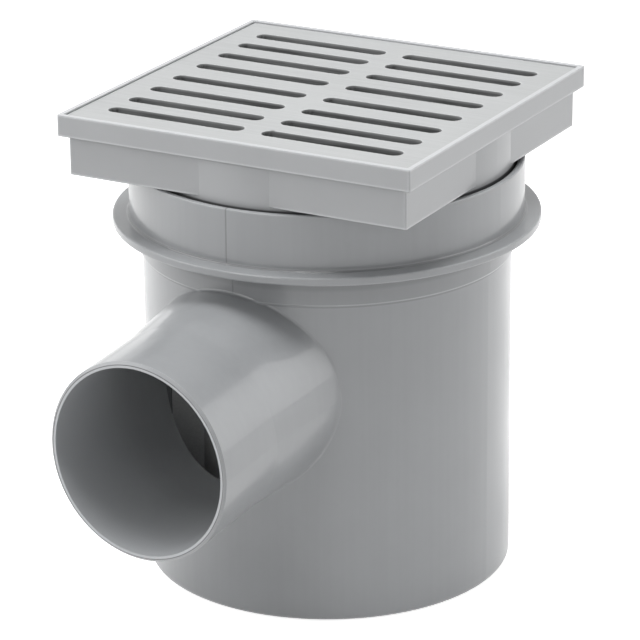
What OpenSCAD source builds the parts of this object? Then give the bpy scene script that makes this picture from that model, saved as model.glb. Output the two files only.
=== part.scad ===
// Yard drain: a moulded pot with a tapered outlet, a square raising frame with a slotted
// grate, and inside it a lift-out silt bucket and a trap baffle that holds the water seal.
// Origin: centre of the pot's base. Up is +Z. The outlet points along -Y.

/* [Pot] */
// Outer radius of the pot's wall
pot_r = 102.5; // [100:0.1:104]
// Thickness of the pot's wall
pot_wall = 3.2; // [2.8:0.1:3.6]
// Thickness of the pot's floor
floor_t = 3.5; // [3:0.1:5]
// Rounding of the pot's bottom edge
base_round = 3; // [2:0.5:4]
// Drop of the fine step below the flange's top
step_drop = 21.4; // [18:0.1:26]
// How far the shoulder above the step stands out
step_out = 1.1; // [0.6:0.1:1.4]

/* [Neck and flange] */
// Radius of the flange
flange_r = 118.8; // [115:0.1:124]
// Thickness of the flange
flange_t = 4.6; // [4.2:0.1:5.4]
// Height of the flange's top above the crown of the outlet's bore
flange_above = 21.3; // [20.5:0.1:23]
// Outer radius of the neck
neck_r = 109.6; // [109.4:0.1:111]
// Thickness of the neck's wall
neck_wall = 3.6; // [3.2:0.1:3.6]
// Height of the neck above the flange's top
neck_high = 31.2; // [29:0.1:34]
// Depth of the fine rebate round the neck's mouth
rebate_deep = 0.8; // [0.6:0.1:1.2]
// Width of that rebate
rebate_wide = 1.3; // [1:0.1:1.5]

/* [Outlet] */
// Outer radius of the outlet, for a standard 110 pipe
outlet_r = 55; // [53:0.5:56]
// Thickness of the outlet's wall
outlet_wall = 3.2; // [2.8:0.1:4]
// Distance of the mouth from the pot's axis
outlet_reach = 191; // [175:1:210]
// Height of the mouth's centre
outlet_z = 120; // [116:0.5:122]
// Fall of the outlet toward its mouth, in degrees
outlet_fall = 5.5; // [4:0.5:6]
// Length of the parallel part that the pipe's socket takes
outlet_parallel = 50; // [40:1:60]
// Taper of the rest, in radius per length
outlet_taper = 0.072; // [0.05:0.002:0.08]

/* [Raising frame] */
// Side of the square rim
rim_side = 213.4; // [210:0.1:216]
// Height of the frame from its skirt's lower edge to the rim's top
frame_high = 34.2; // [32:0.1:38]
// Height of the rim's band
rim_band = 11.9; // [11:0.1:12.6]
// Side of the square skirt under the rim
skirt_side = 204.4; // [203:0.1:206]
// Height of the skirt's lower edge above the neck's rim
skirt_gap = 2; // [1:0.1:3]
// Thickness of the rim's wall
rim_wall = 2.7; // [2.4:0.1:3]
// Thickness of the skirt's wall
skirt_wall = 3; // [2.6:0.1:3.4]
// Turn of the frame against the outlet, in degrees
frame_turn = 2.9; // [0:0.1:8]

/* [Grate] */
// Length of a slot
slot_long = 83.4; // [76:0.2:84.4]
// Width of a slot
slot_wide = 9.5; // [7:0.1:9.8]
// Width of the rib between the two columns of slots
mid_rib = 11.5; // [10:0.1:14]
// Pitch of the two middle rows
row_pitch = 25.7; // [24:0.1:26]
// How much each pitch falls toward the edge
pitch_fall = 1.5; // [1:0.1:2]
// Rounding of the slots' top edges
slot_round = 0.3; // [0.2:0.1:0.6]
// Draft of the slots, which widen downward, in degrees
slot_draft = 6; // [3:0.5:7]
// How far the grate's top lies under the rim's top
grate_sunk = 1; // [0.5:0.1:2]

/* [Silt bucket] */
// Height of the bucket's floor above the pot's base
bucket_z = 40; // [34:1:50]
// Radius of the bucket's mouth
mouth_r = 66; // [65:0.5:66.5]
// Radius of the bucket's foot
foot_r = 56; // [50:0.5:60]
// Number of slots round the bucket
bucket_slots = 16; // [12:1:20]
// Diameter of the handle's wire
wire_d = 4; // [3:0.2:4.4]
// Length of the handle from its pivots to its grip
bail_long = 46; // [40:1:48]

/* [Trap baffle] */
// Depth of the water seal under the outlet
seal_deep = 50; // [45:1:55]
// Inner radius of the baffle's curved wall
baffle_r = 70; // [69:0.5:72]
// Thickness of the baffle
baffle_t = 3; // [2.4:0.1:3.2]
// Thickness of the gasket on each side of the baffle
gasket_t = 1.2; // [1:0.1:1.5]

/* [Hidden] */
$fn = 96;
// clearance between faces that slide or turn on each other
slide_gap = 0.3;
// overlap of cutters and joined forms
over = 1;

// outlet
pot_bore = pot_r - pot_wall;
parallel_wall = outlet_r - outlet_wall;
outlet_run = (outlet_reach - pot_r * 0.76) / cos(outlet_fall);
root_r = outlet_r + (outlet_run - outlet_parallel) * outlet_taper;
mouth_chamfer = 1.2;
mouth_back = 1;
mouth_spare = outlet_r * 0.2;
bore_at_wall = parallel_wall + (outlet_reach - pot_bore - outlet_parallel) * outlet_taper;
axis_at_wall = outlet_z + (outlet_reach - pot_bore) * tan(outlet_fall);
invert_z = axis_at_wall - bore_at_wall / cos(outlet_fall);
crown_z = axis_at_wall + bore_at_wall / cos(outlet_fall);

// pot
flange_z = crown_z + flange_above;
neck_z = flange_z + neck_high;
step_z = flange_z - step_drop;
shoulder_r = pot_r + step_out;
flange_low = flange_z - flange_t;
under_fillet = 3;
foot_fillet = 1.5;
ledge_z = flange_z - 1.7;
neck_bore = neck_r - neck_wall;
rebate_r = neck_bore + rebate_wide;
rebate_z = neck_z - rebate_deep;
edge_soft = 0.8;
step_soft = 0.5;

// baffle
baffle_half = asin(bore_at_wall / pot_bore) + 10;
baffle_low = invert_z - seal_deep;
baffle_top = crown_z + gasket_t + baffle_t;
baffle_edge = pot_bore - 4.2;
gasket_r = pot_bore - slide_gap;
gasket_in = baffle_edge - 4;
guide_t = 3;
guide_deep = 7.2;
guide_in = pot_bore - guide_deep;
guide_off = baffle_t / 2 + gasket_t + slide_gap;
stop_t = 5;

// frame
rim_half = rim_side / 2;
skirt_half = skirt_side / 2;
pocket_half = rim_half - rim_wall;
skirt_low = neck_z + skirt_gap;
rim_z = skirt_low + frame_high;
seat_z = rim_z - rim_band + 2.5;
corner_floor = 3;
corner_r = 1;
spigot_r = neck_bore - 1.6;
spigot_wall = 3.5;
spigot_bore = spigot_r - spigot_wall;
rim_t = 2.5;
spigot_low = ledge_z + rim_t + slide_gap + skirt_gap;
groove_low = spigot_low + 2.4;
groove_wide = 5;
groove_high = groove_low + groove_wide;
groove_r = spigot_r - 1.8;
lip_r = neck_bore - slide_gap;

// grate
grate_half = pocket_half - 0.6;
grate_top = rim_z - grate_sunk;
grate_low = seat_z;
deep_rib = 6;
deep_rib_z = grate_low - deep_rib;
deep_half = skirt_half - skirt_wall - 4;
rows = [for (i = [0 : 3]) row_pitch / 2 + i * row_pitch - pitch_fall * i * (i + 1) / 2];
slot_mid = mid_rib / 2 + slot_long / 2;

// bucket
bucket_t = 2.2;
slot_foot = 16;
slot_between = 14;
slot_head = 26;
cut_from = foot_r * 0.75;
cut_long = mouth_r * 0.45;
drain_d = 7;
drain_ring = foot_r * 0.54;
bucket_floor = 2.5;
mouth_low = baffle_top + gasket_t + 3.8;
lip_up = 6;
funnel_t = 2.5;
lip_z = mouth_low + lip_up;
pivot_z = lip_z + slide_gap + wire_d / 2;
lug_in = mouth_r - 0.4;
lug_t = 4;
lug_half = 5;
leg_x = mouth_r - 4;
elbow_r = 4;
bend_r = 20;
wire_end = lug_in + lug_t + 3;
tier_long = (mouth_low - bucket_z - slot_foot - slot_between - slot_head) / 2;

// node names in the order of building
// which sub-part to draw, or all of them

// a square block with round corners, made of true cylinders
module round_square(half, r, low, high) {
  h = high - low;
  translate([-half + r, -half, low]) cube([2 * (half - r), 2 * half, h]);
  translate([-half, -half + r, low]) cube([2 * half, 2 * (half - r), h]);
  for (x = [-1, 1]) for (y = [-1, 1])
    translate([x * (half - r), y * (half - r), low]) cylinder(r = r, h = h);
}

// a quarter round as corner points, from angle a to angle b
function arc(cx, cz, r, a, b, n) = [for (i = [0 : n]) [cx + r * cos(a + (b - a) * i / n), cz + r * sin(a + (b - a) * i / n)]];

// places its children on the outlet's axis: local z runs from the mouth toward the pot
module on_outlet() {
  translate([0, -outlet_reach, outlet_z]) rotate([-(90 - outlet_fall), 0, 0]) children();
}

// the outlet's coaxial form: a parallel length for the pipe's socket, then a taper
module outlet_form(grow) {
  on_outlet() {
    translate([0, 0, -mouth_spare]) cylinder(r = outlet_r + grow, h = mouth_spare + outlet_parallel);
    translate([0, 0, outlet_parallel]) cylinder(r1 = outlet_r + grow, r2 = root_r + grow, h = outlet_run - outlet_parallel);
  }
}

// everything beyond the outlet's upright mouth, and the chamfer round it
module beyond_mouth() {
  far = outlet_r;
  wide = outlet_r * 1.5;
  translate([-wide, -outlet_reach - far, outlet_z - wide]) cube([2 * wide, far, 2 * wide]);
  translate([0, -outlet_reach, outlet_z]) rotate([-90, 0, 0]) rotate_extrude()
    polygon([[outlet_r - mouth_chamfer, -over], [outlet_r - mouth_chamfer, 0], [outlet_r, mouth_back],
      [outlet_r + mouth_chamfer / 2, mouth_back * 1.5], [outlet_r * 1.2, mouth_back * 1.5], [outlet_r * 1.2, -over]]);
}

// the pot's skin as one revolved line: base, wall, step, flare, flange, neck, rebate, ledge
module pot_body() {
  rotate_extrude() polygon(concat(
    [[0, 0]],
    arc(pot_r - base_round, base_round, base_round, -90, 0, 4),
    [[pot_r, step_z]],
    arc(shoulder_r - step_soft, step_z + step_soft, step_soft, -90, 0, 2),
    [for (p = arc(shoulder_r + under_fillet, flange_low - under_fillet, under_fillet, 180, 90, 4)) p],
    arc(flange_r - edge_soft, flange_low + edge_soft, edge_soft, -90, 0, 2),
    arc(flange_r - edge_soft, flange_z - edge_soft, edge_soft, 0, 90, 2),
    arc(neck_r + foot_fillet, flange_z + foot_fillet, foot_fillet, 270, 180, 3),
    arc(neck_r - edge_soft, neck_z - edge_soft, edge_soft, 0, 90, 2),
    [[rebate_r, neck_z], [rebate_r, rebate_z], [neck_bore, rebate_z], [neck_bore, ledge_z], [pot_bore, ledge_z]],
    arc(pot_bore - base_round, floor_t + base_round, base_round, 0, -90, 3),
    [[0, floor_t]]
  ));
}

// the hollow inside the pot, used to trim the outlet
module pot_hollow() {
  translate([0, 0, floor_t + base_round]) cylinder(r = pot_bore, h = flange_low - floor_t - base_round - over);
}

// one pair of upright ribs with a stop under them, for one edge of the baffle
module baffle_guide(side) {
  under_top = baffle_top - baffle_t - gasket_t - slide_gap;
  rotate([0, 0, -90 + side * baffle_half]) {
    for (s = [-1, 1])
      translate([guide_in, s * (guide_off + guide_t / 2) - guide_t / 2, baffle_low - stop_t])
        cube([pot_bore + 1.5 - guide_in, guide_t, (s == side ? baffle_top + 2 : under_top) - baffle_low + stop_t]);
    translate([guide_in, -guide_off, baffle_low - stop_t])
      cube([pot_bore + 1.5 - guide_in, 2 * guide_off, stop_t]);
  }
}

// the moulded pot: its flange, neck and falling outlet are all one skin of even wall
module pot() color([0.6, 0.61, 0.63]) {
  difference() {
    union() {
      pot_body();
      difference() {
        outlet_form(0);
        pot_hollow();
        beyond_mouth();
      }
      baffle_guide(-1);
      baffle_guide(1);
    }
    difference() {
      outlet_form(-outlet_wall);
      translate([0, 0, -over]) cylinder(r = guide_in - 4, h = flange_low);
    }
  }
}

// rubber ring in the groove of the frame's spigot, with a lip toward the neck
module spigot_seal() color([0.1, 0.1, 0.1]) {
  low = groove_low + slide_gap;
  high = groove_high - slide_gap;
  in = groove_r + slide_gap;
  out = lip_r - spigot_r;
  tall = high - low;
  rotate_extrude() polygon([[in, low], [spigot_r, low], [spigot_r + out * 0.3, low + tall * 0.27],
    [lip_r, low + tall * 0.59], [lip_r, low + tall * 0.73], [spigot_r + out * 0.2, high], [in, high]]);
}

// the square raising frame: rim, seat, skirt with closed corners, and the round spigot
module raising_frame() color([0.66, 0.67, 0.68]) rotate([0, 0, frame_turn]) {
  difference() {
    union() {
      round_square(rim_half, corner_r, rim_z - rim_band, rim_z);
      round_square(skirt_half, corner_r, skirt_low, rim_z - rim_band + over);
      translate([0, 0, spigot_low]) cylinder(r = spigot_r, h = rim_z - rim_band + over - spigot_low);
    }
    round_square(pocket_half, corner_r, seat_z, rim_z + over);
    round_square(skirt_half - skirt_wall, corner_r, skirt_low + corner_floor, seat_z + over);
    translate([0, 0, spigot_low - over]) cylinder(r = spigot_bore, h = seat_z - spigot_low + 2 * over);
    rotate_extrude() polygon([[groove_r, groove_low], [spigot_r + 3, groove_low], [spigot_r + 3, groove_high], [groove_r, groove_high]]);
  }
}

// half of a slot's cutter across its width, with the rounded top edge
function slot_line(w) = concat(
  [[0, deep_rib_z - over], [w + (grate_top - slot_round - deep_rib_z + over) * tan(slot_draft), deep_rib_z - over]],
  arc(w + slot_round, grate_top - slot_round, slot_round, 180, 90, 3),
  [[w + slot_round, grate_top + over], [0, grate_top + over]]);

// one slot of the grate: a straight run and two round ends of the same section
module slot(x, y) {
  run = slot_long - slot_wide;
  w = slot_wide / 2;
  translate([x, y, 0]) {
    for (s = [-1, 1]) mirror([0, s < 0 ? 1 : 0, 0])
      translate([-run / 2, 0, 0]) rotate([90, 0, 90]) linear_extrude(height = run) polygon(slot_line(w));
    translate([run / 2, 0, 0]) rotate([0, 0, -90]) rotate_extrude(angle = 180) polygon(slot_line(w));
    translate([-run / 2, 0, 0]) rotate([0, 0, 90]) rotate_extrude(angle = 180) polygon(slot_line(w));
  }
}

// the slotted grate, a plate with deep ribs under its bars
module grate() color([0.8, 0.81, 0.81]) rotate([0, 0, frame_turn]) {
  bar_t = 4;
  difference() {
    union() {
      round_square(grate_half, corner_r - 0.6, grate_low, grate_top);
      difference() {
        round_square(deep_half, corner_r, deep_rib_z, grate_low + over);
        round_square(deep_half - 3, corner_r, deep_rib_z - over, grate_low);
      }
      for (s = [-1, 1]) {
        translate([-deep_half + 1, s * (rows[0] + rows[1]) / 2 - bar_t / 2, deep_rib_z])
          cube([2 * deep_half - 2, bar_t, grate_low - deep_rib_z + over]);
        translate([-deep_half + 1, s * (rows[1] + rows[2]) / 2 - bar_t / 2, deep_rib_z])
          cube([2 * deep_half - 2, bar_t, grate_low - deep_rib_z + over]);
        translate([-deep_half + 1, s * (rows[2] + rows[3]) / 2 - bar_t / 2, deep_rib_z])
          cube([2 * deep_half - 2, bar_t, grate_low - deep_rib_z + over]);
      }
      translate([-deep_half + 1, -bar_t / 2, deep_rib_z])
        cube([2 * deep_half - 2, bar_t, grate_low - deep_rib_z + over]);
      translate([-mid_rib / 2 + 2, -deep_half + 1, deep_rib_z])
        cube([mid_rib - 4, 2 * deep_half - 2, grate_low - deep_rib_z + over]);
    }
    for (sx = [-1, 1]) for (sy = [-1, 1]) for (y = rows) slot(sx * slot_mid, sy * y);
  }
}

// a radial cutter with round ends through the bucket's wall
module bucket_cut(low, high, w) {
  translate([cut_from, 0, low + w / 2]) rotate([0, 90, 0]) cylinder(d = w, h = cut_long, $fn = 24);
  translate([cut_from, 0, high - w / 2]) rotate([0, 90, 0]) cylinder(d = w, h = cut_long, $fn = 24);
  translate([cut_from, -w / 2, low + w / 2]) cube([cut_long, w, high - low - w]);
}

// the lift-out silt bucket: rim on the pot's ledge, funnel, slotted tapered wall
module silt_bucket() color([0.2, 0.21, 0.22]) {
  rim_r = neck_bore - 0.6;
  funnel_r = pot_bore - 1.2;
  slot_w = 5;
  difference() {
    union() {
      rotate_extrude() polygon([
        [0, bucket_z], [foot_r, bucket_z], [mouth_r, mouth_low], [funnel_r, ledge_z],
        [rim_r, ledge_z], [rim_r, ledge_z + rim_t], [funnel_r - 0.8, ledge_z + rim_t],
        [mouth_r + 0.2, mouth_low + funnel_t], [mouth_r + 0.2, lip_z], [mouth_r - bucket_t, lip_z],
        [mouth_r - bucket_t, mouth_low], [foot_r - bucket_t, bucket_z + bucket_floor], [0, bucket_z + bucket_floor]]);
      for (s = [0, 180]) rotate([0, 0, s]) {
        translate([lug_in, -lug_half, mouth_low + 1]) cube([lug_t, 2 * lug_half, pivot_z - mouth_low - 1]);
        translate([lug_in, 0, pivot_z]) rotate([0, 90, 0]) cylinder(r = lug_half, h = lug_t);
      }
    }
    for (s = [0, 180]) rotate([0, 0, s])
      translate([lug_in - over, 0, pivot_z]) rotate([0, 90, 0]) cylinder(r = wire_d / 2 + slide_gap, h = lug_t + 2 * over);
    for (i = [0 : bucket_slots - 1]) rotate([0, 0, (i + 0.5) * 360 / bucket_slots]) {
      bucket_cut(bucket_z + slot_foot, bucket_z + slot_foot + tier_long, slot_w);
      bucket_cut(bucket_z + slot_foot + slot_between + tier_long, mouth_low - slot_head, slot_w);
    }
    for (i = [0 : 7]) rotate([0, 0, i * 45])
      translate([drain_ring, 0, bucket_z - over]) cylinder(d = drain_d, h = bucket_floor + 2 * over, $fn = 24);
    translate([0, 0, bucket_z - over]) cylinder(d = drain_d, h = bucket_floor + 2 * over, $fn = 24);
  }
}

// the bent wire handle, folded down on the bucket's lip
module bucket_handle() color([0.72, 0.73, 0.74]) translate([0, 0, pivot_z]) {
  r = wire_d / 2;
  for (m = [0, 1]) mirror([m, 0, 0]) {
    translate([leg_x + elbow_r, 0, 0]) rotate([0, 90, 0]) cylinder(r = r, h = wire_end - leg_x - elbow_r, $fn = 32);
    translate([leg_x + elbow_r, elbow_r, 0]) rotate([0, 0, 180]) rotate_extrude(angle = 90) translate([elbow_r, 0]) circle(r = r, $fn = 32);
    translate([leg_x, elbow_r, 0]) rotate([-90, 0, 0]) cylinder(r = r, h = bail_long - bend_r - elbow_r, $fn = 32);
    translate([leg_x - bend_r, bail_long - bend_r, 0]) rotate_extrude(angle = 90) translate([bend_r, 0]) circle(r = r, $fn = 32);
    translate([0, bail_long, 0]) rotate([0, 90, 0]) cylinder(r = r, h = leg_x - bend_r, $fn = 32);
  }
}

// the baffle's form: curved wall, top plate and two side plates, cut round to the given edge radius
module baffle_form(edge) {
  past = edge + 2;
  intersection() {
    union() {
      rotate([0, 0, -90 - baffle_half]) rotate_extrude(angle = 2 * baffle_half)
        polygon([[baffle_r, baffle_low], [baffle_r + baffle_t, baffle_low], [baffle_r + baffle_t, baffle_top - baffle_t],
          [past, baffle_top - baffle_t], [past, baffle_top], [baffle_r, baffle_top]]);
      for (s = [-1, 1]) rotate([0, 0, -90 + s * baffle_half])
        translate([baffle_r + 0.5, -baffle_t / 2, baffle_low]) cube([past - baffle_r - 0.5, baffle_t, baffle_top - baffle_low]);
    }
    translate([0, 0, baffle_low - over]) cylinder(r = edge, h = baffle_top - baffle_low + 2 * over);
  }
}

// the trap baffle, hung in front of the outlet so water has to pass under it
module trap_baffle() color([0.25, 0.26, 0.27]) {
  baffle_form(baffle_edge);
}

// rubber gasket that wraps the baffle's two upright edges and its top edge
module baffle_gasket() color([0.08, 0.08, 0.08]) {
  w = baffle_t / 2 + gasket_t;
  difference() {
    intersection() {
      union() {
        for (s = [-1, 1]) rotate([0, 0, -90 + s * baffle_half])
          translate([gasket_in, -w, baffle_low]) cube([gasket_r - gasket_in + 2, 2 * w, baffle_top + gasket_t - baffle_low]);
        rotate([0, 0, -90 - baffle_half]) rotate_extrude(angle = 2 * baffle_half)
          translate([gasket_in, baffle_top - baffle_t - gasket_t]) square([gasket_r - gasket_in + 2, baffle_t + 2 * gasket_t]);
      }
      translate([0, 0, baffle_low - over]) cylinder(r = gasket_r, h = baffle_top + gasket_t - baffle_low + 2 * over);
    }
    baffle_form(baffle_edge + slide_gap);
  }
}

pot();
spigot_seal();
raising_frame();
grate();
silt_bucket();
bucket_handle();
trap_baffle();
baffle_gasket();
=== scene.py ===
"""Looks for the yard drain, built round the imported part: finishes, fine forms, light and camera."""

from __future__ import annotations

import logging
import math
from dataclasses import dataclass
from enum import Enum
from typing import ClassVar

import bmesh
import bpy
from mathutils import Matrix, Vector


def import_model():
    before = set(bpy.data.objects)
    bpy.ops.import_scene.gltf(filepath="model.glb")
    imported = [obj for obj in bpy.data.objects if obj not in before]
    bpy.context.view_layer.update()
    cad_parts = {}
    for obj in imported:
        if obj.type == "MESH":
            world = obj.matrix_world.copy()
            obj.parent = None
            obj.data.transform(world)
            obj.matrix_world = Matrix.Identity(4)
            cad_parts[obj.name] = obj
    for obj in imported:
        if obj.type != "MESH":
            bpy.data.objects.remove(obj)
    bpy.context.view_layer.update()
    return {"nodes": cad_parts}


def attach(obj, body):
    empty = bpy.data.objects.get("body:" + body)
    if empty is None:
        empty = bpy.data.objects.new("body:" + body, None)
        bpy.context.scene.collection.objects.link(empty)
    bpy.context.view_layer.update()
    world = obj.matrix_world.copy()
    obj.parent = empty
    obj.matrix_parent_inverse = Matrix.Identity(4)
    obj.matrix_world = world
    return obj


MM = 0.001
# Most values of a noise texture lie between these two
NOISE_LOW = 0.3
NOISE_HIGH = 0.7

Socket = bpy.types.NodeSocket
Colour = tuple[float, float, float, float]
Triple = tuple[float, float, float]

log = logging.getLogger("yard_drain")


class Shade(Enum):
    """Named colours of the drain's plastics, rubber and wire, as linear light."""

    POT = (0.272, 0.28, 0.289)
    FRAME = (0.37, 0.377, 0.386)
    GRATE = (0.41, 0.418, 0.42)
    BUCKET = (0.035, 0.036, 0.038)
    BAFFLE = (0.82, 0.825, 0.82)
    RUBBER = (0.018, 0.018, 0.019)
    WIRE = (0.55, 0.55, 0.53)

    def toned(self, share: float) -> Colour:
        """The colour brightened or darkened by a share, with full cover."""
        r, g, b = self.value
        return (r * share, g * share, b * share, 1.0)


@dataclass(frozen=True)
class Pattern:
    """A noise pattern that is fixed to the part.

    Args:
        scale: Noise scale per metre.
        detail: Number of finer layers.
        turn: Turn of the pattern about the upright axis, in degrees.
        stretch: Scales along the turned axes, where the pattern runs one way.
    """

    scale: float
    detail: float
    turn: float = 0.0
    stretch: Triple | None = None


@dataclass(frozen=True)
class Tint:
    """A lighter or darker tone of a plastic that is laid over it.

    Args:
        tone: Its brightness against the plastic.
        share: Share of that tone which shows.
    """

    tone: float
    share: float


@dataclass(frozen=True)
class Relief:
    """A small unevenness of a skin.

    Args:
        strength: How strongly it bends the light.
        height: Its height.
    """

    strength: float
    height: float


@dataclass(frozen=True)
class Outlet:
    """The falling outlet, whose parallel end grows wider behind.

    Args:
        mouth: Centre of its mouth.
        fall: Its fall in degrees.
        radius: Outer radius of its parallel part.
        parallel: Length of that part.
        taper: Growth of the radius per length behind it.
    """

    mouth: Triple = (0.0, -191.0 * MM, 120.0 * MM)
    fall: float = 5.5
    radius: float = 55.0 * MM
    parallel: float = 50.0 * MM
    taper: float = 0.072


class NodeDesk:
    """A small helper that adds and links the nodes of one material."""

    # Places of the colour mix node's sockets, because several of them share a name
    MIX_SHARE = 0
    MIX_UNDER = 6
    MIX_OVER = 7
    MIX_RESULT = 2
    # How far the rounded normal follows the true one on an edge that takes the painted highlight and on a
    # plain face
    ON_EDGE = 0.90
    ON_FACE = 0.995
    ROUNDING_SAMPLES = 6

    def __init__(self, name: str) -> None:
        """Starts an empty node material.

        Args:
            name: The material's name.
        """
        self.material = bpy.data.materials.new(name)
        self.material.use_nodes = True
        self.tree = self.material.node_tree
        self.tree.nodes.clear()
        self._place: Socket | None = None

    def add(self, kind: str) -> bpy.types.Node:
        """Adds one node of a kind and returns it."""
        return self.tree.nodes.new(kind)

    def link(self, source: Socket, target: Socket) -> None:
        """Links two sockets."""
        self.tree.links.new(source, target)

    def feed(self, target: Socket, value: Socket | float | Triple) -> None:
        """Links a socket to a target, or sets the target to a constant.

        Args:
            target: The socket that takes the value.
            value: Another node's socket, a number or a vector.
        """
        if isinstance(value, Socket):
            self.link(value, target)
        else:
            target.default_value = value

    def place(self) -> Socket:
        """The point in the part's own frame, from one shared coordinate node.

        Returns:
            The point's socket.
        """
        if self._place is None:
            self._place = self.add("ShaderNodeTexCoord").outputs["Object"]
        return self._place

    def apart(self, point: Socket) -> bpy.types.NodeOutputs:
        """Splits a point into its coordinates.

        Args:
            point: The point's socket.

        Returns:
            The sockets X, Y and Z.
        """
        node = self.add("ShaderNodeSeparateXYZ")
        self.link(point, node.inputs[0])
        return node.outputs

    def turned(self, point: Socket, axis: str, degrees: float) -> Socket:
        """Turns a point back about one axis, so that a form that is turned lies straight.

        Args:
            point: The point's socket.
            axis: The node's axis, such as Z_AXIS.
            degrees: Turn of the form.

        Returns:
            The turned point's socket.
        """
        node = self.add("ShaderNodeVectorRotate")
        node.rotation_type = axis
        node.inputs["Angle"].default_value = math.radians(-degrees)
        self.link(point, node.inputs["Vector"])
        return node.outputs["Vector"]

    def noise(self, pattern: Pattern) -> Socket:
        """Adds a noise texture in the part's frame.

        Args:
            pattern: The pattern to read.

        Returns:
            The noise value's socket.
        """
        point = self.place()
        if pattern.stretch:
            point = self.vector("MULTIPLY", self.turned(point, "Z_AXIS", pattern.turn), pattern.stretch)
        node = self.add("ShaderNodeTexNoise")
        node.inputs["Scale"].default_value = pattern.scale
        node.inputs["Detail"].default_value = pattern.detail
        self.link(point, node.inputs["Vector"])
        return node.outputs["Fac"]

    def ramp(self, value: Socket, low: Colour, high: Colour) -> Socket:
        """Turns a noise value into a colour between two ends.

        Args:
            value: The driving value.
            low: Colour at the low end.
            high: Colour at the high end.

        Returns:
            The colour's socket.
        """
        node = self.add("ShaderNodeValToRGB")
        for stop, position, colour in zip(node.color_ramp.elements, (NOISE_LOW, NOISE_HIGH), (low, high)):
            stop.position = position
            stop.color = colour
        self.link(value, node.inputs["Fac"])
        return node.outputs["Color"]

    def maths(self, operation: str, first: Socket, second: Socket | float = 0.0) -> Socket:
        """Adds one arithmetic node.

        Args:
            operation: The node's operation, such as MULTIPLY.
            first: The first value's socket.
            second: The second value, which some operations leave unused.

        Returns:
            The result's socket.
        """
        node = self.add("ShaderNodeMath")
        node.operation = operation
        self.link(first, node.inputs[0])
        self.feed(node.inputs[1], second)
        return node.outputs[0]

    def vector(self, operation: str, first: Socket, second: Socket | Triple = (0.0, 0.0, 0.0)) -> Socket:
        """Adds one vector node.

        Args:
            operation: The node's operation, such as SUBTRACT.
            first: The first vector's socket.
            second: The second vector, which a length leaves unused.

        Returns:
            The result's socket, which is a number for a length and for a dot product.
        """
        node = self.add("ShaderNodeVectorMath")
        node.operation = operation
        self.link(first, node.inputs[0])
        self.feed(node.inputs[1], second)
        return node.outputs["Value" if operation in ("LENGTH", "DOT_PRODUCT") else "Vector"]

    def product(self, *values: Socket) -> Socket:
        """Multiplies several values together.

        Args:
            values: The values' sockets.

        Returns:
            The product's socket.
        """
        result = values[0]
        for value in values[1:]:
            result = self.maths("MULTIPLY", result, value)
        return result

    def mix_colour(self, value: Socket, under: Socket, over: Colour, most: float) -> Socket:
        """Lays a colour over another by a share of a value.

        Args:
            value: The driving value.
            under: The colour below.
            over: The colour laid on top.
            most: The share where the value is 1.

        Returns:
            The mixed colour's socket.
        """
        node = self.add("ShaderNodeMix")
        node.data_type = "RGBA"
        self.link(self.maths("MULTIPLY", value, most), node.inputs[self.MIX_SHARE])
        self.link(under, node.inputs[self.MIX_UNDER])
        node.inputs[self.MIX_OVER].default_value = over
        return node.outputs[self.MIX_RESULT]

    def span(
        self, value: Socket, low: float, high: float, start: float = NOISE_LOW, end: float = NOISE_HIGH
    ) -> Socket:
        """Maps a value onto a range.

        Args:
            value: The driving value.
            low: Result at the low end.
            high: Result at the high end.
            start: Value that gives the low end.
            end: Value that gives the high end.

        Returns:
            The mapped value's socket.
        """
        node = self.add("ShaderNodeMapRange")
        node.inputs["From Min"].default_value = start
        node.inputs["From Max"].default_value = end
        node.inputs["To Min"].default_value = low
        node.inputs["To Max"].default_value = high
        self.link(value, node.inputs["Value"])
        return node.outputs["Result"]

    def rise(self, value: Socket, start: float, end: float) -> Socket:
        """A value that rises from 0 to 1 between two ends."""
        return self.span(value, 0.0, 1.0, start, end)

    def fall(self, value: Socket, start: float, end: float) -> Socket:
        """A value that falls from 1 to 0 between two ends."""
        return self.span(value, 1.0, 0.0, start, end)

    def bump(self, height: Socket, relief: Relief, before: Socket | None = None) -> Socket:
        """Adds a bump layer.

        Args:
            height: The height value.
            relief: Strength and height of the bump.
            before: A bump below this one, if any.

        Returns:
            The bent normal's socket.
        """
        node = self.add("ShaderNodeBump")
        node.inputs["Strength"].default_value = relief.strength
        node.inputs["Distance"].default_value = relief.height
        self.link(height, node.inputs["Height"])
        if before is not None:
            self.link(before, node.inputs["Normal"])
        return node.outputs["Normal"]

    def nick(self, mark: Socket, relief: Relief, before: Socket) -> Socket:
        """Sinks a mark into the skin, as a bump turned over."""
        return self.bump(self.maths("MULTIPLY", mark, -1.0), relief, before)

    def rounded(self, radius: float) -> Socket:
        """The normal with the mesh's hard edges rounded.

        Args:
            radius: Radius of the rounding.

        Returns:
            The rounded normal's socket.
        """
        node = self.add("ShaderNodeBevel")
        node.samples = self.ROUNDING_SAMPLES
        node.inputs["Radius"].default_value = radius
        return node.outputs["Normal"]

    def edge(self, radius: float) -> Socket:
        """A value that grows to 1 toward the mesh's hard edges.

        Args:
            radius: Reach of the edge's zone.

        Returns:
            The value's socket.
        """
        true_normal = self.add("ShaderNodeNewGeometry").outputs["True Normal"]
        agreement = self.vector("DOT_PRODUCT", self.rounded(radius), true_normal)
        return self.fall(agreement, self.ON_EDGE, self.ON_FACE)

    def shader(self) -> bpy.types.Node:
        """Adds the surface shader and the output.

        Returns:
            The surface shader.
        """
        skin = self.add("ShaderNodeBsdfPrincipled")
        end = self.add("ShaderNodeOutputMaterial")
        self.link(skin.outputs["BSDF"], end.inputs["Surface"])
        return skin


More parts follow.
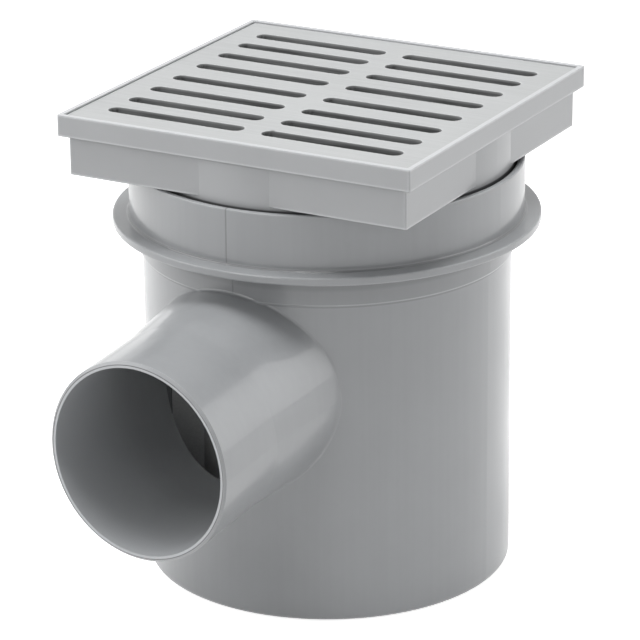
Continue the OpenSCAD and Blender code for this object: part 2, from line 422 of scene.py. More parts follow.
@dataclass(frozen=True)
class Seam:
    """The fine upright parting line that the pot's mould leaves beside the outlet.

    Args:
        turn: Angle of the line from the outlet's side, in degrees.
        width: Width of the line.
        core: Share of the width at which the line starts to fade.
        edge: Share of the width at which it ends.
        low: Height where it starts.
        near: Distance from the axis where it starts.
        fade: Length over which it starts on its way out.
        flange: Distance from the axis where the flange hides it.
        tint: Its tone.
        relief: Depth of its nick.
    """

    turn: float = 2.4
    width: float = 0.75 * MM
    core: float = 0.3
    edge: float = 0.8
    low: float = 187.0 * MM
    near: float = 80.0 * MM
    fade: float = 10.0 * MM
    flange: float = 111.0 * MM
    tint: Tint = Tint(0.62, 0.8)
    relief: Relief = Relief(0.6, 0.25 * MM)

    def mark(self, nodes: NodeDesk) -> Socket:
        """Adds the nodes that find the line.

        Args:
            nodes: The material's desk.

        Returns:
            A value of 1 on the line and 0 beside it.
        """
        point = nodes.apart(nodes.turned(nodes.place(), "Z_AXIS", self.turn))
        aside = nodes.maths("ABSOLUTE", point["X"])
        line = nodes.fall(aside, self.width * self.core, self.width * self.edge)
        front = nodes.fall(point["Y"], -self.near - self.fade, -self.near)
        inside = nodes.rise(point["Y"], -self.flange - MM, -self.flange)
        above = nodes.rise(point["Z"], self.low, self.low + MM)
        return nodes.product(line, front, inside, above)


@dataclass(frozen=True)
class MouthRings:
    """The outlet's end: a fine groove with painted shade, the land inside it with a painted highlight,
    and painted light in the bore near the mouth.

    Args:
        outlet: The outlet that they are on.
        groove: Radius of the groove.
        width: Width of the groove.
        core: Share of that width at which the groove starts to fade.
        edge: Share of that width at which it ends.
        land_edge: Share of that width that stays between the land and the groove.
        deep: Distance behind the mouth over which the rings show.
        deep_fade: Distance over which they then fade.
        bore_fade: Half the depth over which the bore's skin starts.
        lit_depth: Distance behind the mouth over which the painted light in the bore fades out.
        bore_light_tint: Tone of the painted light in the bore.
        land_highlight_tint: Tone of the painted highlight on the land.
        groove_shade_tint: Tone of the painted shade in the groove.
        relief: Depth of the groove.
    """

    outlet: Outlet = Outlet()
    groove: float = 53.3 * MM
    width: float = 0.5 * MM
    core: float = 0.3
    edge: float = 0.7
    land_edge: float = 0.4
    deep: float = 0.5 * MM
    deep_fade: float = 0.3 * MM
    bore_fade: float = 0.2 * MM
    # The next four fields paint light in the bore near the mouth, a highlight on the land and shade in
    # the groove
    lit_depth: float = 70.0 * MM
    bore_light_tint: Tint = Tint(1.75, 0.9)
    land_highlight_tint: Tint = Tint(1.7, 0.7)
    groove_shade_tint: Tint = Tint(0.35, 0.8)
    relief: Relief = Relief(0.6, 0.25 * MM)

    def marks(self, nodes: NodeDesk) -> tuple[Socket, Socket, Socket]:
        """Adds the nodes that find the rings and the clean bore.

        Args:
            nodes: The material's desk.

        Returns:
            A value of 1 in the groove, of 1 on the land inside it, and of 1 in the bore near the mouth,
            where light is painted.
        """
        outlet = self.outlet
        local = nodes.vector("SUBTRACT", nodes.place(), outlet.mouth)
        across = nodes.vector("MULTIPLY", nodes.turned(local, "X_AXIS", outlet.fall), (1.0, 0.0, 1.0))
        radius = nodes.vector("LENGTH", across)
        run = nodes.apart(local)["Y"]
        near = nodes.fall(run, self.deep, self.deep + self.deep_fade)
        aside = nodes.maths("ABSOLUTE", nodes.maths("SUBTRACT", radius, self.groove))
        groove = nodes.fall(aside, self.width * self.core, self.width * self.edge)
        land = nodes.fall(radius, self.groove - self.width, self.groove - self.width * self.land_edge)
        # Painted light in the bore, strongest at the mouth and fading deeper
        behind = nodes.maths("MAXIMUM", nodes.maths("SUBTRACT", run, outlet.parallel), 0.0)
        level = nodes.maths("SUBTRACT", radius, nodes.maths("MULTIPLY", behind, outlet.taper))
        bore = nodes.fall(level, self.groove - self.bore_fade, self.groove + self.bore_fade)
        mouth_light = nodes.fall(run, 0.0, self.lit_depth)
        return nodes.product(groove, near), nodes.product(land, near), nodes.product(bore, mouth_light)


@dataclass(frozen=True)
class Band:
    """A level band where the plastic is painted darker as shade or lighter as a highlight.

    Args:
        low: Height where it starts.
        high: Height where it ends.
        tint: Its tone.
        within: Radius beyond which it stops.
        ease: Height over which its edges fade.
        rim: Distance over which it stops outward.
    """

    low: float
    high: float
    tint: Tint
    within: float = 1.0
    ease: float = 0.2 * MM
    rim: float = 0.4 * MM

    def find(self, nodes: NodeDesk) -> Socket:
        """Adds the nodes that find the band.

        Args:
            nodes: The material's desk.

        Returns:
            A value of 1 in the band and 0 outside it.
        """
        height = nodes.apart(nodes.place())["Z"]
        above = nodes.rise(height, self.low - self.ease, self.low)
        below = nodes.fall(height, self.high, self.high + self.ease)
        away = nodes.vector("LENGTH", nodes.vector("MULTIPLY", nodes.place(), (1.0, 1.0, 0.0)))
        return nodes.product(above, below, nodes.fall(away, self.within, self.within + self.rim))


@dataclass(frozen=True)
class Speck:
    """A darker spot with a ragged edge.

    Args:
        spot: Its middle.
        reach: Its half length, half width and half depth, with its ragged edge.
        tint: Its tone.
        ragged: Pattern that is added to the share of its reach, to fray its edge.
        core: Sum at which it starts to fade.
        rim: Sum at which it ends.
    """

    spot: Triple
    reach: Triple = (3.0 * MM, 1.6 * MM, 1.5 * MM)
    tint: Tint = Tint(0.35, 0.6)
    ragged: Pattern = Pattern(900.0, 2.0)
    core: float = 0.6
    rim: float = 1.4

    def find(self, nodes: NodeDesk) -> Socket:
        """Adds the nodes that find the smudge.

        Args:
            nodes: The material's desk.

        Returns:
            A value of 1 in its middle and 0 beyond its ragged edge.
        """
        offset = nodes.vector("SUBTRACT", nodes.place(), self.spot)
        away = nodes.vector("LENGTH", nodes.vector("DIVIDE", offset, self.reach))
        return nodes.fall(nodes.maths("ADD", away, nodes.noise(self.ragged)), self.core, self.rim)


@dataclass(frozen=True)
class MouldedPlastic:
    """A satin moulded plastic: faint flow clouding, fine grain and uneven gloss.

    Args:
        name: The material's name.
        shade: The plastic's own colour.
        roughness: Mean roughness of the skin.
        gloss: Share of a thin smoother skin over it.
        clouding: Share by which the colour drifts over a hand's breadth.
        grain: Size of the skin's fine grain.
        grain_relief: Height of that grain.
        rounding: Rounding of the piece's hard edges.
        sheen: Strength of the mirror share, where a half is plain plastic.
        streaks: Share of fine streaks that run with the grate's slots.
        wear: Share of the painted highlight that lightens the hard edges.
        highlight_reach: Reach of that painted highlight on the hard edges.
        drawn: Share of fine upright lines left by the mould's polish.
        marks: Bands and spots that darken or lighten the colour, most of them painted shade and painted
            highlight.
        seam: Parting line of the mould, if it shows.
        rings: Rings on the outlet's end, if it has one.
    """

    CLOUDS: ClassVar[Pattern] = Pattern(18.0, 4.0)
    MOTTLE: ClassVar[Pattern] = Pattern(420.0, 3.0)
    MOTTLE_TINT: ClassVar[Tint] = Tint(1.08, 0.10)
    SWELL: ClassVar[Pattern] = Pattern(34.0, 1.0)
    SWELL_RELIEF: ClassVar[Relief] = Relief(0.25, 0.12 * MM)
    GRAIN_DETAIL: ClassVar[float] = 2.0
    POLISH: ClassVar[Pattern] = Pattern(1.0, 2.0, stretch=(260.0, 260.0, 5.0))
    BRUSH: ClassVar[Pattern] = Pattern(1.0, 3.0, turn=2.9, stretch=(26.0, 1100.0, 300.0))
    BRUSH_RELIEF: ClassVar[Relief] = Relief(0.3, 0.02 * MM)
    # Noise values at which a fine line starts and at which it is full, and its tone
    LINE_START: ClassVar[float] = 0.38
    LINE_FULL: ClassVar[float] = 0.62
    LINE_TONE: ClassVar[float] = 1.25
    # Brightness of the painted highlight on hard edges
    EDGE_HIGHLIGHT_TONE: ClassVar[float] = 2.0
    # How far the roughness drifts below and above its mean, and the roughness of the thin skin
    SMOOTHER: ClassVar[float] = 0.05
    ROUGHER: ClassVar[float] = 0.07
    GLOSS_ROUGHNESS: ClassVar[float] = 0.1

    name: str
    shade: Shade
    roughness: float = 0.38
    gloss: float = 0.25
    clouding: float = 0.04
    grain: float = 0.7 * MM
    grain_relief: Relief = Relief(0.5, 0.01 * MM)
    rounding: float = 0.4 * MM
    sheen: float = 0.5
    streaks: float = 0.0
    # Share and reach of the painted highlight that lightens the hard edges
    wear: float = 0.25
    highlight_reach: float = 0.5 * MM
    drawn: float = 0.0
    marks: tuple[Band | Speck, ...] = ()
    seam: Seam | None = None
    rings: MouthRings | None = None

    def build(self) -> bpy.types.Material:
        """Makes the node material.

        Returns:
            The finished material.
        """
        nodes = NodeDesk(self.name)
        cloud = nodes.noise(self.CLOUDS)
        tone = self._tone(nodes, cloud)
        bend = self._bend(nodes)
        if self.streaks:
            tone, bend = self._streaked(nodes, tone, bend)
        if self.seam:
            mark = self.seam.mark(nodes)
            tone = self._tinted(nodes, mark, tone, self.seam.tint)
            bend = nodes.nick(mark, self.seam.relief, bend)
        if self.rings:
            tone, bend = self._ringed(nodes, tone, bend)
        rough = nodes.span(cloud, self.roughness - self.SMOOTHER, self.roughness + self.ROUGHER)
        skin = nodes.shader()
        nodes.link(tone, skin.inputs["Base Color"])
        nodes.link(rough, skin.inputs["Roughness"])
        skin.inputs["Specular IOR Level"].default_value = self.sheen
        skin.inputs["Coat Weight"].default_value = self.gloss
        skin.inputs["Coat Roughness"].default_value = self.GLOSS_ROUGHNESS
        nodes.link(bend, skin.inputs["Normal"])
        return nodes.material

    def _tinted(self, nodes: NodeDesk, value: Socket, under: Socket, tint: Tint) -> Socket:
        """The colour with a tone of the plastic laid over it where a value is 1."""
        return nodes.mix_colour(value, under, self.shade.toned(tint.tone), tint.share)

    def _lines(self, nodes: NodeDesk, pattern: Pattern) -> Socket:
        """A value of 1 on a pattern's fine lines and 0 between them."""
        return nodes.rise(nodes.noise(pattern), self.LINE_START, self.LINE_FULL)

    def _tone(self, nodes: NodeDesk, cloud: Socket) -> Socket:
        """Lays clouding, mottle, the painted highlight on hard edges, fine lines, and marks of painted
        shade and painted highlight over the plain colour.

        Args:
            nodes: The material's desk.
            cloud: The clouding's value.

        Returns:
            The colour's socket.
        """
        shade = self.shade
        tone = nodes.ramp(cloud, shade.toned(1 - self.clouding), shade.toned(1 + self.clouding))
        tone = self._tinted(nodes, nodes.noise(self.MOTTLE), tone, self.MOTTLE_TINT)
        # Painted highlight: the hard edges are lightened
        tone = self._tinted(nodes, nodes.edge(self.highlight_reach), tone, Tint(self.EDGE_HIGHLIGHT_TONE, self.wear))
        if self.drawn:
            lines = self._lines(nodes, self.POLISH)
            tone = self._tinted(nodes, lines, tone, Tint(self.LINE_TONE, self.drawn))
        # The marks lay painted shade and painted highlight, and a few darker spots
        for mark in self.marks:
            tone = self._tinted(nodes, mark.find(nodes), tone, mark.tint)
        return tone

    def _bend(self, nodes: NodeDesk) -> Socket:
        """Rounds the hard edges and lays the swell and the fine grain over them.

        Args:
            nodes: The material's desk.

        Returns:
            The bent normal's socket.
        """
        bend = nodes.bump(nodes.noise(self.SWELL), self.SWELL_RELIEF, nodes.rounded(self.rounding))
        grain = nodes.noise(Pattern(1.0 / self.grain, self.GRAIN_DETAIL))
        return nodes.bump(grain, self.grain_relief, bend)

    def _streaked(self, nodes: NodeDesk, tone: Socket, bend: Socket) -> tuple[Socket, Socket]:
        """Adds the streaks that run with the grate's slots.

        Args:
            nodes: The material's desk.
            tone: The colour so far.
            bend: The normal so far.

        Returns:
            The new colour and the new normal.
        """
        streak = self._lines(nodes, self.BRUSH)
        tone = self._tinted(nodes, streak, tone, Tint(self.LINE_TONE, self.streaks))
        return tone, nodes.bump(streak, self.BRUSH_RELIEF, bend)

    def _ringed(self, nodes: NodeDesk, tone: Socket, bend: Socket) -> tuple[Socket, Socket]:
        """Adds the rings on the outlet's end with their painted shade and painted highlight, and the
        painted light in its bore.

        Args:
            nodes: The material's desk.
            tone: The colour so far.
            bend: The normal so far.

        Returns:
            The new colour and the new normal.
        """
        rings = self.rings
        groove, land, bore = rings.marks(nodes)
        # Painted light in the bore, painted highlight on the land, painted shade in the groove
        tone = self._tinted(nodes, bore, tone, rings.bore_light_tint)
        tone = self._tinted(nodes, land, tone, rings.land_highlight_tint)
        tone = self._tinted(nodes, groove, tone, rings.groove_shade_tint)
        return tone, nodes.nick(groove, rings.relief, bend)


@dataclass(frozen=True)
class Rubber:
    """Dull black seal rubber with a fine bloom.

    Args:
        name: The material's name.
        shade: The rubber's own colour.
        bloom: Pattern of the bloom.
        palest: Brightness of the bloom against the rubber.
        smooth: Roughness of the plain rubber.
        rough: Roughness of the bloom.
        relief: Height of the bloom.
    """

    name: str = "seal_rubber"
    shade: Shade = Shade.RUBBER
    bloom: Pattern = Pattern(260.0, 4.0)
    palest: float = 2.2
    smooth: float = 0.62
    rough: float = 0.8
    relief: Relief = Relief(0.3, 0.04 * MM)

    def build(self) -> bpy.types.Material:
        """Makes the node material.

        Returns:
            The finished material.
        """
        nodes = NodeDesk(self.name)
        bloom = nodes.noise(self.bloom)
        tone = nodes.ramp(bloom, self.shade.toned(1.0), self.shade.toned(self.palest))
        skin = nodes.shader()
        nodes.link(tone, skin.inputs["Base Color"])
        nodes.link(nodes.span(bloom, self.smooth, self.rough), skin.inputs["Roughness"])
        nodes.link(nodes.bump(bloom, self.relief), skin.inputs["Normal"])
        return nodes.material


@dataclass(frozen=True)
class DrawnWire:
    """Drawn steel wire with a little tarnish.

    Args:
        name: The material's name.
        shade: The bright wire's colour.
        tarnish: Pattern of the tarnish.
        dullest: Brightness of the tarnish against the bright wire.
        smooth: Roughness at one end of the pattern.
        rough: Roughness at its other end.
        relief: Height of the tarnish.
    """

    name: str = "drawn_wire"
    shade: Shade = Shade.WIRE
    tarnish: Pattern = Pattern(150.0, 5.0)
    dullest: float = 0.75
    smooth: float = 0.25
    rough: float = 0.45
    relief: Relief = Relief(0.2, 0.03 * MM)

    def build(self) -> bpy.types.Material:
        """Makes the node material.

        Returns:
            The finished material.
        """
        nodes = NodeDesk(self.name)
        tarnish = nodes.noise(self.tarnish)
        tone = nodes.ramp(tarnish, self.shade.toned(self.dullest), self.shade.toned(1.0))
        skin = nodes.shader()
        skin.inputs["Metallic"].default_value = 1.0
        nodes.link(tone, skin.inputs["Base Color"])
        nodes.link(nodes.span(tarnish, self.smooth, self.rough), skin.inputs["Roughness"])
        nodes.link(nodes.bump(tarnish, self.relief), skin.inputs["Normal"])
        return nodes.material


Finish = MouldedPlastic | Rubber | DrawnWire


@dataclass
class SaddleFillet:
    """The small concave fillet where the falling outlet grows out of the pot's wall.

    Args:
        outlet: The outlet that it runs round.
        wall: Radius of the pot's wall.
        shoulder: Radius of the pot above its step.
        step: Height of the step.
        step_ease: Half the height over which the step is eased.
        fillet: Radius of the fillet.
        sunk: How far the strip's edges sink into the two skins.
        around: Number of stations round the outlet.
        across: Number of faces across the fillet.
    """

    # Length along the outlet in which the pot's wall is sought, over the wall's radius
    SEARCH: ClassVar[float] = 1.6
    HALVINGS: ClassVar[int] = 40

    outlet: Outlet
    wall: float = 102.5 * MM
    shoulder: float = 103.6 * MM
    step: float = 183.8 * MM
    step_ease: float = 1.0 * MM
    fillet: float = 2.2 * MM
    sunk: float = 0.06 * MM
    around: int = 192
    across: int = 6

    def __post_init__(self) -> None:
        """Works out the outlet's own axes."""
        fall = math.radians(self.outlet.fall)
        self.along = Vector((0.0, math.cos(fall), math.sin(fall)))
        self.upward = Vector((0.0, -math.sin(fall), math.cos(fall)))

    def _ray(self, angle: float) -> Vector:
        """Direction out of the outlet's axis at an angle round it."""
        return Vector((math.cos(angle), 0.0, 0.0)) + self.upward * math.sin(angle)

    def _skin(self, angle: float, run: float) -> Vector:
        """Point of the outlet's skin at an angle round it and a distance from its mouth."""
        grown = self.outlet.radius + max(0.0, run - self.outlet.parallel) * self.outlet.taper
        return Vector(self.outlet.mouth) + self.along * run + self._ray(angle) * grown

    def _pot_radius(self, height: float) -> float:
        """Radius of the pot's skin at a height, eased over the step."""
        share = (height - self.step + self.step_ease) / (2 * self.step_ease)
        return self.wall + (self.shoulder - self.wall) * min(1.0, max(0.0, share))

    def _meeting(self, angle: float) -> Vector:
        """Finds the point where the outlet's skin meets the pot's, by halving.

        Args:
            angle: Angle round the outlet.

        Returns:
            The point.
        """
        near = self.outlet.parallel
        far = self.wall * self.SEARCH
        for _ in range(self.HALVINGS):
            middle = (near + far) / 2
            point = self._skin(angle, middle)
            if math.hypot(point.x, point.y) > self._pot_radius(point.z):
                near = middle
            else:
                far = middle
        return self._skin(angle, (near + far) / 2)

    def _station(self, angle: float) -> list[Vector]:
        """Works out the fillet's cross line at one angle.

        Args:
            angle: Angle round the outlet.

        Returns:
            Its points, from the outlet's skin to the pot's.
        """
        point = self._meeting(angle)
        pipe = (self._ray(angle) - self.along * self.outlet.taper).normalized()
        pot = Vector((point.x, point.y, 0.0)).normalized()
        centre = point + (pipe + pot) * (self.fillet / (1 + pipe.dot(pot)))
        reach = self.fillet + self.sunk
        return [centre - pipe.slerp(pot, i / self.across) * reach for i in range(self.across + 1)]

    def build(self, skin: bpy.types.Material) -> bpy.types.Object:
        """Makes the strip, which rides on the pot.

        Args:
            skin: The pot's plastic.

        Returns:
            The finished strip.
        """
        mesh = bpy.data.meshes.new("outlet_fillet")
        form = bmesh.new()
        lines = []
        for i in range(self.around):
            points = self._station(2 * math.pi * i / self.around)
            lines.append([form.verts.new(p) for p in points])
        for line, after in zip(lines, lines[1:] + lines[:1]):
            for i in range(self.across):
                face = form.faces.new((line[i], line[i + 1], after[i + 1], after[i]))
                face.smooth = True
        form.normal_update()
        form.to_mesh(mesh)
        form.free()
        strip = bpy.data.objects.new("outlet_fillet", mesh)
        bpy.context.scene.collection.objects.link(strip)
        mesh.materials.append(skin)
        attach(strip, "pot")
        return strip


@dataclass
class SubAssembly:
    """One sub-assembly of the drain: carried-over nodes and the finish each one wears.

    Args:
        nodes: The frame's nodes by name.
    """

    made: ClassVar[dict[Finish, bpy.types.Material]] = {}

    nodes: dict[str, bpy.types.Object]

    def wear(self, name: str, finish: Finish) -> bpy.types.Material:
        """Puts a finish on one carried-over node.

        Args:
            name: The node's name.
            finish: Its finish.

        Returns:
            The finish's material.
        """
        if finish not in self.made:
            self.made[finish] = finish.build()
        material = self.made[finish]
        data = self.nodes[name].data
        data.materials.clear()
        data.materials.append(material)
        log.info("%s wears %s", name, finish.name)
        return material


@dataclass
class Pot(SubAssembly):
    """The moulded pot with its flange, neck and outlet, and the seal inside its neck.

    Args:
        outlet: The pot's outlet.
        plastic: The pot's finish.
        rubber: The seal's finish.
    """

    # Painted shade at the neck's foot and under the flange, the step's line of painted shade and line of
    # painted highlight, the neck's rim with a painted highlight, and painted shade in its bore
    POT_SHADE_AND_LIGHT: ClassVar[tuple[Band, ...]] = (
        Band(low=205.0 * MM, high=206.2 * MM, tint=Tint(0.45, 0.8), within=110.4 * MM),
        Band(low=184.8 * MM, high=201.0 * MM, tint=Tint(0.6, 0.32), within=106.0 * MM),
        Band(low=193.5 * MM, high=201.0 * MM, tint=Tint(0.5, 0.35), within=106.0 * MM, ease=2.0 * MM),
        Band(low=182.6 * MM, high=183.4 * MM, tint=Tint(0.6, 0.5), within=103.2 * MM),
        Band(low=183.9 * MM, high=184.5 * MM, tint=Tint(1.5, 0.4), within=104.2 * MM),
        Band(low=236.1 * MM, high=236.6 * MM, tint=Tint(1.6, 0.5)),
        Band(low=206.5 * MM, high=235.2 * MM, tint=Tint(0.15, 0.85), within=106.6 * MM),
    )

    outlet: Outlet = Outlet()
    plastic: MouldedPlastic = MouldedPlastic(
        "pot_plastic",
        Shade.POT,
        roughness=0.33,
        gloss=0.45,
        # wear sets the painted highlight on the pot's hard edges
        wear=0.2,
        highlight_reach=1.5 * MM,
        drawn=0.08,
        marks=POT_SHADE_AND_LIGHT,
        seam=Seam(),
        rings=MouthRings(),
    )
    rubber: Rubber = Rubber()

    def build(self) -> None:
        """Dresses the pot and its seal and lays the fillet round the outlet's root."""
        skin = self.wear("pot", self.plastic)
        self.wear("spigot_seal", self.rubber)
        fillet = SaddleFillet(self.outlet).build(skin)
        log.info("%s rides on the pot", fillet.name)


@dataclass
class Trap(SubAssembly):
    """The trap baffle and its gasket, seen through the outlet.

    Args:
        plastic: The baffle's finish.
        rubber: The gasket's finish.
    """

    # Painted shade that darkens the side plate where it catches the light
    PLATE_SHADE: ClassVar[Speck] = Speck(
        spot=(-55.0 * MM, -62.0 * MM, 92.0 * MM),
        reach=(16.0 * MM, 30.0 * MM, 120.0 * MM),
        tint=Tint(0.75, 0.9),
    )

    plastic: MouldedPlastic = MouldedPlastic("baffle_plastic", Shade.BAFFLE, roughness=0.5, marks=(PLATE_SHADE,))
    rubber: Rubber = Rubber()

    def build(self) -> None:
        """Dresses the baffle and its gasket."""
        self.wear("trap_baffle", self.plastic)
        self.wear("baffle_gasket", self.rubber)


@dataclass
class Cover(SubAssembly):
    """The square raising frame and the slotted grate that lies in it.

    Args:
        frame: The raising frame's finish.
        grate: The grate's finish.
    """

    # The rim's top edge with a painted highlight, painted shade in the corner below the rim, and painted
    # shade on the spigot
    FRAME_SHADE_AND_LIGHT: ClassVar[tuple[Band, ...]] = (
        Band(low=272.2 * MM, high=273.0 * MM, tint=Tint(1.5, 0.6)),
        Band(low=259.4 * MM, high=260.6 * MM, tint=Tint(0.55, 0.4), ease=0.6 * MM),
        Band(low=208.0 * MM, high=236.2 * MM, tint=Tint(0.12, 0.9), ease=0.8 * MM),
    )
    # Painted shade down in the slots and at the far right corner, and a darker spot beside the near slot
    GRATE_SHADE_AND_SPOTS: ClassVar[tuple[Band | Speck, ...]] = (
        Band(low=250.0 * MM, high=269.8 * MM, tint=Tint(0.15, 0.8), ease=1.5 * MM),
        Speck(spot=(13.1 * MM, -75.6 * MM, 271.6 * MM)),
        Speck(spot=(108.0 * MM, 97.5 * MM, 271.6 * MM), reach=(2.0 * MM, 2.0 * MM, 2.0 * MM)),
    )

    frame: MouldedPlastic = MouldedPlastic(
        "frame_plastic",
        Shade.FRAME,
        rounding=0.7 * MM,
        # wear sets the painted highlight on the frame's hard edges
        wear=0.55,
        highlight_reach=2.4 * MM,
        marks=FRAME_SHADE_AND_LIGHT,
    )
    grate: MouldedPlastic = MouldedPlastic(
        "grate_plastic",
        Shade.GRATE,
        roughness=0.55,
        gloss=0.0,
        clouding=0.05,
        rounding=0.25 * MM,
        sheen=0.25,
        streaks=0.3,
        # wear sets the painted highlight on the grate's hard edges
        wear=0.3,
        highlight_reach=1.6 * MM,
        marks=GRATE_SHADE_AND_SPOTS,
    )

    def build(self) -> None:
        """Dresses the frame and the grate."""
        self.wear("raising_frame", self.frame)
        self.wear("grate", self.grate)


@dataclass
class SiltBucket(SubAssembly):
    """The lift-out silt bucket and its wire handle.

    Args:
        plastic: The bucket's finish.
        wire: The handle's finish.
    """

    plastic: MouldedPlastic = MouldedPlastic("bucket_plastic", Shade.BUCKET, roughness=0.55, gloss=0.0)
    wire: DrawnWire = DrawnWire()

    def build(self) -> None:
        """Dresses the bucket and its handle."""
        self.wear("silt_bucket", self.plastic)
        self.wear("bucket_handle", self.wire)


@dataclass(frozen=True)
class Softbox:
    """One square softbox aimed at the drain.

    Args:
        name: The lamp's name.
        turn: Angle from the camera's azimuth, to the right, in degrees.
        height: Height angle in degrees.
        away: Distance from the drain's middle.
        side: Side of the softbox.
        power: Power in watts.
    """

    name: str
    turn: float
    height: float
    away: float
    side: float
    power: float


@dataclass
class Studio:
    """Pale floor, soft lamps and the camera at the photograph's angle.

    Args:
        azimuth: Camera's angle round the drain from the outlet's side, in degrees.
        elevation: Camera's height angle in degrees.
        distance: Camera's distance from its aim.
        aim: Height of the aim on the pot's axis.
        aside: Sideways shift of the camera and its aim.
        roll: Clockwise roll of the camera in degrees.
        focal: Focal length over the frame's width.
        room: Strength of the soft light from all round.
        floor_size: Half the floor's side.
        floor_drop: How far the floor lies below the pot's base.
        floor_low: Darkest grey of the floor.
        floor_high: Lightest grey of the floor.
        floor_glow: How much brighter the floor looks than its own light makes it.
        boxes: The softboxes.
    """

    # The camera's sensor in millimetres, and its clipping distances
    SENSOR: ClassVar[float] = 36.0
    CLIP_NEAR: ClassVar[float] = 0.05
    CLIP_FAR: ClassVar[float] = 60.0
    FLOOR_CLOUDS: ClassVar[Pattern] = Pattern(3.0, 2.0)

    azimuth: float = 31.7
    elevation: float = 20.38
    distance: float = 1.9957
    aim: float = 137.98 * MM
    aside: float = -4.45 * MM
    roll: float = 0.54
    focal: float = 5.5575
    room: float = 0.24
    floor_size: float = 12.0
    floor_drop: float = 0.5 * MM
    floor_low: float = 0.80
    floor_high: float = 0.82
    floor_glow: float = 0.78
    boxes: tuple[Softbox, ...] = (
        Softbox("top_softbox", turn=0.0, height=84.0, away=1.7, side=0.8, power=22.0),
        Softbox("left_softbox", turn=-88.0, height=33.0, away=1.6, side=1.3, power=10.6),
        Softbox("right_softbox", turn=84.0, height=18.0, away=1.6, side=1.2, power=8.2),
        Softbox("front_softbox", turn=-8.0, height=19.0, away=1.7, side=0.7, power=0.3),
        Softbox("outlet_softbox", turn=-38.0, height=29.0, away=1.7, side=0.7, power=4.0),
        Softbox("rim_softbox", turn=-165.0, height=9.0, away=1.7, side=0.4, power=0.32),
    )

    def build(self) -> None:
        """Makes the floor, the world, the lamps and the camera."""
        self._floor()
        self._world()
        for box in self.boxes:
            self._lamp(box)
        self._camera()
        bpy.context.scene.view_settings.view_transform = "Standard"
        log.info("studio set with %d softboxes", len(self.boxes))

    def _direction(self, turn: float, height: float) -> Vector:
        """Works out a direction from the drain, turned from the camera's own azimuth.

        Args:
            turn: Angle to the right, in degrees.
            height: Height angle in degrees.

        Returns:
            The unit vector.
        """
        across = math.radians(self.azimuth + turn)
        rise = math.radians(height)
        level = math.cos(rise)
        return Vector((math.sin(across) * level, -math.cos(across) * level, math.sin(rise)))

    def _camera(self) -> None:
        """Sets the camera on the fitted line of sight, with its small roll."""
        azimuth = math.radians(self.azimuth)
        roll = math.radians(self.roll)
        back = self._direction(0.0, self.elevation)
        right = Vector((math.cos(azimuth), math.sin(azimuth), 0.0))
        up = back.cross(right)
        data = bpy.data.cameras.new("camera")
        data.sensor_width = self.SENSOR
        data.lens = self.SENSOR * self.focal
        data.clip_start = self.CLIP_NEAR
        data.clip_end = self.CLIP_FAR
        camera = bpy.data.objects.new("camera", data)
        bpy.context.scene.collection.objects.link(camera)
        spot = right * self.aside + Vector((0.0, 0.0, self.aim)) + back * self.distance
        across = right * math.cos(roll) - up * math.sin(roll)
        upward = up * math.cos(roll) + right * math.sin(roll)
        turn = Matrix((across, upward, back)).transposed().to_4x4()
        camera.matrix_world = Matrix.Translation(spot) @ turn
        bpy.context.scene.camera = camera

    def _lamp(self, box: Softbox) -> None:
        """Adds one softbox aimed at the drain's middle.

        Args:
            box: The softbox.
        """
        data = bpy.data.lights.new(box.name, "AREA")
        data.shape = "SQUARE"
        data.size = box.side
        data.energy = box.power
        lamp = bpy.data.objects.new(box.name, data)
        bpy.context.scene.collection.objects.link(lamp)
        line = self._direction(box.turn, box.height)
        lamp.location = Vector((0.0, 0.0, self.aim)) + line * box.away
        lamp.rotation_mode = "QUATERNION"
        lamp.rotation_quaternion = line.to_track_quat("Z", "Y")

    @staticmethod
    def _seen(tree: bpy.types.NodeTree) -> Socket:
        """Adds the nodes that find what the camera sees, straight, mirrored or through.

        Args:
            tree: The node tree to add them to.

        Returns:
            A value of 1 for what is seen and 0 for what only lights.
        """
        path = tree.nodes.new("ShaderNodeLightPath")
        value = path.outputs["Is Camera Ray"]
        for name in ("Is Glossy Ray", "Is Transmission Ray"):
            either = tree.nodes.new("ShaderNodeMath")
            either.operation = "MAXIMUM"
            tree.links.new(value, either.inputs[0])
            tree.links.new(path.outputs[name], either.inputs[1])
            value = either.outputs[0]
        return value

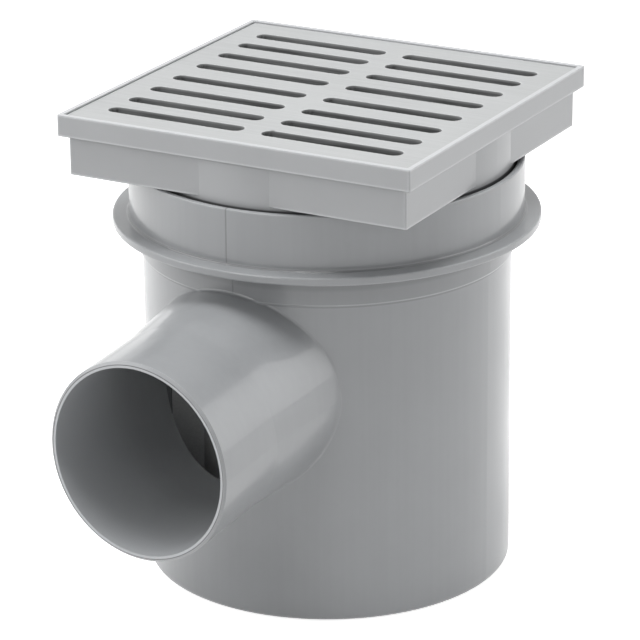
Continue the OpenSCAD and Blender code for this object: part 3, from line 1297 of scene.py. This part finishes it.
    def _floor_finish(self) -> bpy.types.Material:
        """Makes the floor's pale finish, which shows white away from the shadow.

        Returns:
            The finished material.
        """
        low, high = ((grey, grey, grey, 1.0) for grey in (self.floor_low, self.floor_high))
        nodes = NodeDesk("pale_floor")
        paint = nodes.add("ShaderNodeBsdfDiffuse")
        nodes.link(nodes.ramp(nodes.noise(self.FLOOR_CLOUDS), low, high), paint.inputs["Color"])
        glow = nodes.add("ShaderNodeEmission")
        strength = nodes.maths("MULTIPLY", self._seen(nodes.tree), self.floor_glow)
        nodes.link(strength, glow.inputs["Strength"])
        both = nodes.add("ShaderNodeAddShader")
        nodes.link(paint.outputs["BSDF"], both.inputs[0])
        nodes.link(glow.outputs["Emission"], both.inputs[1])
        end = nodes.add("ShaderNodeOutputMaterial")
        nodes.link(both.outputs[0], end.inputs["Surface"])
        return nodes.material

    def _floor(self) -> None:
        """Makes the wide pale floor, which keeps the drain's shadow."""
        mesh = bpy.data.meshes.new("floor")
        form = bmesh.new()
        bmesh.ops.create_grid(form, x_segments=1, y_segments=1, size=self.floor_size)
        form.to_mesh(mesh)
        form.free()
        floor = bpy.data.objects.new("floor", mesh)
        bpy.context.scene.collection.objects.link(floor)
        mesh.materials.append(self._floor_finish())
        floor.location.z = -self.floor_drop

    def _world(self) -> None:
        """Sets a soft world light that the camera and gloss see as white."""
        world = bpy.data.worlds.new("soft_room")
        world.use_nodes = True
        tree = world.node_tree
        ground = tree.nodes["Background"]
        level = tree.nodes.new("ShaderNodeMapRange")
        level.inputs["To Min"].default_value = self.room
        level.inputs["To Max"].default_value = 1.0
        tree.links.new(self._seen(tree), level.inputs["Value"])
        tree.links.new(level.outputs["Result"], ground.inputs["Strength"])
        ground.inputs["Color"].default_value = (1.0, 1.0, 1.0, 1.0)
        bpy.context.scene.world = world


def main() -> None:
    """Loads the frame, dresses each sub-assembly and sets the studio."""
    logging.basicConfig(level=logging.INFO, format="%(message)s")
    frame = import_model()
    nodes = frame["nodes"]
    for part in (Pot(nodes), Trap(nodes), Cover(nodes), SiltBucket(nodes)):
        part.build()
    Studio().build()


if __name__ == "__main__":
    main()
